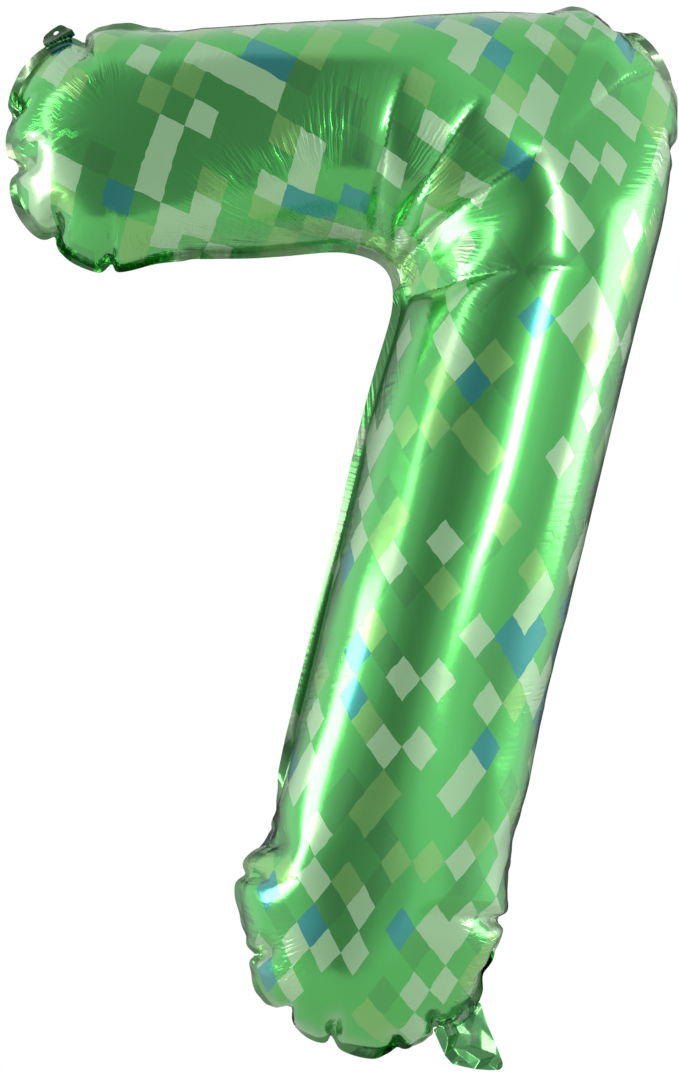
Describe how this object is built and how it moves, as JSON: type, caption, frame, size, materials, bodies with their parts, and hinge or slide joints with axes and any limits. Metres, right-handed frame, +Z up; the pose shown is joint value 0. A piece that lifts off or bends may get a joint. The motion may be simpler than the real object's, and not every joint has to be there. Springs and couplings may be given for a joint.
{
  "type": "foil number balloon",
  "caption": "Inflated foil balloon in the shape of the figure 7, with a punched hang tab and a fill tail with a flat valve.",
  "frame": {"origin": "centre of the hang hole, punched through the tab at the bar's left end", "axes": "+Z up, +X to the right as the figure is read, -Y out of the balloon's front"},
  "size_m": [0.5678, 0.2062, 0.8925],
  "materials": {
    "printed_foil": "metallised film, mirror bright, printed in greens",
    "welded_foil": "metallised film, heat welded",
    "valve_film": "clear film, slightly milky"
  },
  "bodies": {
    "balloon": {"front_film": "printed_foil", "back_film": "printed_foil", "weld_seam": "welded_foil", "valve_inner_front_ply": "valve_film", "valve_inner_back_ply": "valve_film"},
    "hang_tab": {"hang_tab_front_ply": "printed_foil", "hang_tab_back_ply": "printed_foil"},
    "fill_tail": {"tail_front_ply": "printed_foil", "tail_back_ply": "printed_foil", "valve_mouth_front_ply": "valve_film", "valve_mouth_back_ply": "valve_film"}
  },
  "joints": [
    {"name": "hang_tab_fold", "type": "hinge", "parent": "balloon", "child": "hang_tab", "pos_m": [0.00173, -0.01372, -0.00325], "axis": [-0.8829, 0, -0.4695], "range_deg": [-165, 15], "stiffness_Nm_per_rad": 0.0005},
    {"name": "fill_tail_fold", "type": "hinge", "parent": "balloon", "child": "fill_tail", "pos_m": [0.34073, -0.01372, -0.82119], "axis": [0.6691, 0, 0.7431], "range_deg": [-90, 90], "stiffness_Nm_per_rad": 0.0005}
  ]
}
